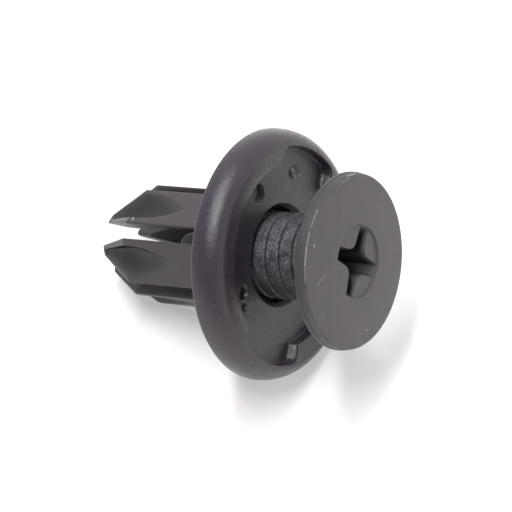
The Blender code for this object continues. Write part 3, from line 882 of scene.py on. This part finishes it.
# %% [markdown]
# ## The threaded shank
# The thread is wide flat lands with a thin groove between them. Its profile climbs one pitch while
# it is spun once, so the end of every ring meets the start of the next. The lands are torn and
# sparkle with fine grit: partly real height here, partly grain in the finish, and partly painted
# glints in the colour. The grooves are darkened with painted shade.

# %% Thread
THREAD_RADIUS, THREAD_PITCH, GROOVE_DEPTH, GROOVE_WIDTH = 3.1, 1.12, 0.28, 0.24
THREAD_END, THREAD_STEPS = -0.35, 200
LAND_GRIT, MOST_GRIT = 0.016, 0.35


def thread_section(base):
    """One pitch of the thread's outside, from the low side of a land to the next groove's bottom."""
    root = THREAD_RADIUS - GROOVE_DEPTH
    land_start = base + GROOVE_WIDTH / 2
    land_end = land_start + (THREAD_PITCH - GROOVE_WIDTH)
    corners = [(root, base, 0), (THREAD_RADIUS, land_start, 0.06), (THREAD_RADIUS, land_end, 0.06),
               (root, base + THREAD_PITCH, 0)]
    return spaced(rounded(corners, 3), 0.07)


shank = bmesh.new()
low = THREAD_END - THREAD_PITCH
turns = math.ceil((HEAD_UNDERSIDE + THREAD_PITCH - low) / THREAD_PITCH)
section = []
for i in range(turns):
    section += thread_section(low + i * THREAD_PITCH)[:-1]
section.append(Vector((THREAD_RADIUS - GROOVE_DEPTH, low + turns * THREAD_PITCH)))
points = [shank.verts.new((point.x, 0, point.y)) for point in section]
edges = [shank.edges.new(pair) for pair in zip(points, points[1:])]
bmesh.ops.spin(shank, geom=points + edges, cent=(0, 0, 0), axis=(0, 0, 1), angle=2 * math.pi,
               steps=THREAD_STEPS, dvec=(0, 0, THREAD_PITCH / THREAD_STEPS))
bmesh.ops.remove_doubles(shank, verts=shank.verts, dist=0.002)
# Each groove's depth is stored for painted shade; the lands are pushed out by real grit.
painted_shade = shank.verts.layers.float.new("painted_shade")
for vert in shank.verts:
    radius = math.hypot(vert.co.x, vert.co.y)
    vert[painted_shade] = min(1, max(0, THREAD_RADIUS - radius - 0.08) / 0.15)
    if radius > THREAD_RADIUS - 0.05:
        grit_and_glints = noise.noise(vert.co * 7) * 0.6 + noise.noise(vert.co * 15) * 0.5
        vert.co.xy *= 1 + LAND_GRIT * min(grit_and_glints, MOST_GRIT) / radius
print("thread climbs", round(turns * THREAD_PITCH, 2), "mm before its ends are cut")

# %% [markdown]
# The ends of the spun thread are ragged, so both are cut off square. The top end takes the head's
# core, so its open edge is drawn inwards and down into a round pocket before it is filled. The
# lower end is filled straight across, and the point covers it.

# %% Close the shank's ends
SHANK_TOP = HEAD_UNDERSIDE + 0.2
POCKET_IN_SHANK = CORE_RADIUS - 0.15


def cut_square(bm, height, side):
    """Cuts the end off and gives the open edge that is left."""
    bmesh.ops.bisect_plane(bm, geom=bm.verts[:] + bm.edges[:] + bm.faces[:], dist=0.0001,
                           plane_co=(0, 0, height), plane_no=(0, 0, side), clear_outer=True)
    return [edge for edge in bm.edges
            if edge.is_boundary and abs(edge.verts[0].co.z - height) < 0.001]


def drawn_to(bm, rim, radius, level):
    """Extrudes an open edge to a radius and a level, and gives the new open edge."""
    made = bmesh.ops.extrude_edge_only(bm, edges=rim)["geom"]
    fresh = [item for item in made if isinstance(item, bmesh.types.BMVert)]
    for vert in fresh:
        vert.co.xy *= radius / math.hypot(vert.co.x, vert.co.y)
        vert.co.z = level
    return [item for item in made
            if isinstance(item, bmesh.types.BMEdge) and all(vert in fresh for vert in item.verts)]


rim = cut_square(shank, SHANK_TOP, 1)
for level in (SHANK_TOP, CORE_END + 0.1):
    rim = drawn_to(shank, rim, POCKET_IN_SHANK, level)
bmesh.ops.holes_fill(shank, edges=rim)
bmesh.ops.holes_fill(shank, edges=cut_square(shank, THREAD_END, -1))
bmesh.ops.recalc_face_normals(shank, faces=shank.faces)
# The shank's colour carries painted shade in the grooves and painted glints on the lands.
shank_nylon = nylon("shank_nylon", (0.046, 0.042, 0.049), 0.36, 0.9, cloudiness=0.5, painted_shade_strength=0.8,
                    grit_and_glints=0.55)
finish_piece(shank, "threaded_shank", "screw", shank_nylon)

# %% [markdown]
# Below the thread the screw tapers to a slim rounded point, which shows through the slots.

# %% Point
NECK_RADIUS, POINT_RADIUS, POINT_END = 2.67, 0.95, -7.1
point_corners = [(0, THREAD_END + 0.2, 0), (NECK_RADIUS, THREAD_END + 0.2, 0),
                 (NECK_RADIUS, THREAD_END - 0.3, 0.2), (POINT_RADIUS, POINT_END, 0.35),
                 (0, POINT_END, 0)]
point_nylon = nylon("point_nylon", (0.04, 0.034, 0.041), 0.4, 0.6)
finish_piece(spun(spaced(rounded(point_corners, 6), 0.5), 96), "screw_point", "screw", point_nylon)

# %% [markdown]
# ## The table it lies on
# The photograph has a plain white ground with a soft shadow. The floor is a pale matt sheet. What
# sees it straight or mirrored gets a little light of the sheet's own, so the ground reads white
# while the shadow stays, and the sheet lights the rivet no more than paper would.

# %% Floor
FLOOR_HALF, FLOOR_GLOW = 0.6, 0.3
floor_bm = bmesh.new()
bmesh.ops.create_grid(floor_bm, x_segments=1, y_segments=1, size=FLOOR_HALF)
floor_mesh = bpy.data.meshes.new("floor")
floor_bm.to_mesh(floor_mesh)
floor_bm.free()
floor = bpy.data.objects.new("floor", floor_mesh)
bpy.context.scene.collection.objects.link(floor)
floor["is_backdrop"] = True
paper = bpy.data.materials.new("floor_paper")
paper.use_nodes = True
floor_mesh.materials.append(paper)
tree = paper.node_tree
sheet = tree.nodes["Principled BSDF"]
sheet.inputs["Base Color"].default_value = (0.8, 0.775, 0.76, 1)
sheet.inputs["Roughness"].default_value = 0.9
sheet.inputs["Emission Color"].default_value = (1, 1, 1, 1)
rays = tree.nodes.new("ShaderNodeLightPath")
seen = math_node(tree, "MAXIMUM", rays.outputs["Is Camera Ray"], rays.outputs["Is Glossy Ray"])
seen = math_node(tree, "MAXIMUM", seen, rays.outputs["Is Transmission Ray"])
link(tree, math_node(tree, "MULTIPLY", seen, FLOOR_GLOW), sheet.inputs["Emission Strength"])
print("floor is", 2 * FLOOR_HALF, "m across")

# %% [markdown]
# ## Light
# The light is that of a small white tent: pale light from everywhere, dimmest above and in front,
# where the tent is open towards the camera, and one long narrow lamp above, from behind on the left
# to the front. A round lamp would lay a round spot on the domed rim, and the photograph shows a
# narrow streak there, which only a long source gives.

# %% World and lamp
world = bpy.data.worlds.new("tent")
bpy.context.scene.world = world
world.use_nodes = True
sky = world.node_tree.nodes["Background"]
sky.inputs["Color"].default_value = (1, 1, 1, 1)
direction = world.node_tree.nodes.new("ShaderNodeTexCoord")
towards = world.node_tree.nodes.new("ShaderNodeVectorMath")
towards.operation = "DOT_PRODUCT"
link(world.node_tree, direction.outputs["Generated"], towards.inputs[0])
towards.inputs[1].default_value = (-0.1, -0.6, 0.79)
fade = world.node_tree.nodes.new("ShaderNodeMapRange")
fade.interpolation_type = "SMOOTHSTEP"
link(world.node_tree, towards.outputs["Value"], fade.inputs["Value"])
for label, value in (("From Min", 0.2), ("From Max", 0.95), ("To Min", 1.0), ("To Max", 0.3)):
    fade.inputs[label].default_value = value
link(world.node_tree, fade.outputs["Result"], sky.inputs["Strength"])


def strip_lamp(name, start, end, width, power):
    """A long narrow lamp between two points that looks at the rivet."""
    start, end = Vector(start), Vector(end)
    middle = (start + end) / 2
    data = bpy.data.lights.new(name, "AREA")
    data.shape = "RECTANGLE"
    data.size = (end - start).length
    data.size_y = width
    data.energy = power
    lamp = bpy.data.objects.new(name, data)
    bpy.context.scene.collection.objects.link(lamp)
    away = middle.normalized()
    across = away.cross(end - start).normalized()
    axes = Matrix((across.cross(away), across, away)).transposed()
    lamp.matrix_world = Matrix.Translation(middle) @ axes.to_4x4()


strip_lamp("overhead", (-0.11, 0.1, 0.29), (-0.02, -0.14, 0.30), 0.02, 0.8)
print("lit by the tent and", len(bpy.data.lights), "lamp")

# %% [markdown]
# ## The camera
# The flange's and the head's outlines are circles, and how they flatten in the photograph gives
# the direction it was taken from. The same view is set here with a long lens.

# %% Camera
AZIMUTH, ELEVATION, ROLL = (math.radians(degrees) for degrees in (24.17, 54.83, 2.32))
CAMERA_PLACE = Vector((0.043, -0.09403, 0.15347))
camera_data = bpy.data.cameras.new("camera")
camera = bpy.data.objects.new("camera", camera_data)
bpy.context.scene.collection.objects.link(camera)
camera_data.sensor_width, camera_data.lens = 36, 175.78
camera_data.clip_start, camera_data.clip_end = 0.01, 5
aim = Matrix.Rotation(AZIMUTH, 4, "Z") @ Matrix.Rotation(math.pi / 2 - ELEVATION, 4, "X")
camera.matrix_world = Matrix.Translation(CAMERA_PLACE) @ aim @ Matrix.Rotation(ROLL, 4, "Z")
bpy.context.scene.camera = camera
bpy.context.scene.view_settings.view_transform = "Standard"
print("camera is", round(CAMERA_PLACE.length, 3), "m from the rivet")

# %% [markdown]
# ## The sizes
# The frame's box and the dressed part's box are both printed, in millimetres.

# %% Sizes
bpy.context.view_layer.update()
both_boxes = (("cad", cad_box), ("visual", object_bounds()))
boxes = {name: [list(corner) for corner in box] for name, box in both_boxes}
for name, box in boxes.items():
    print(name, "is", [round((high - low) * 1000, 2) for low, high in zip(*box)], "mm")
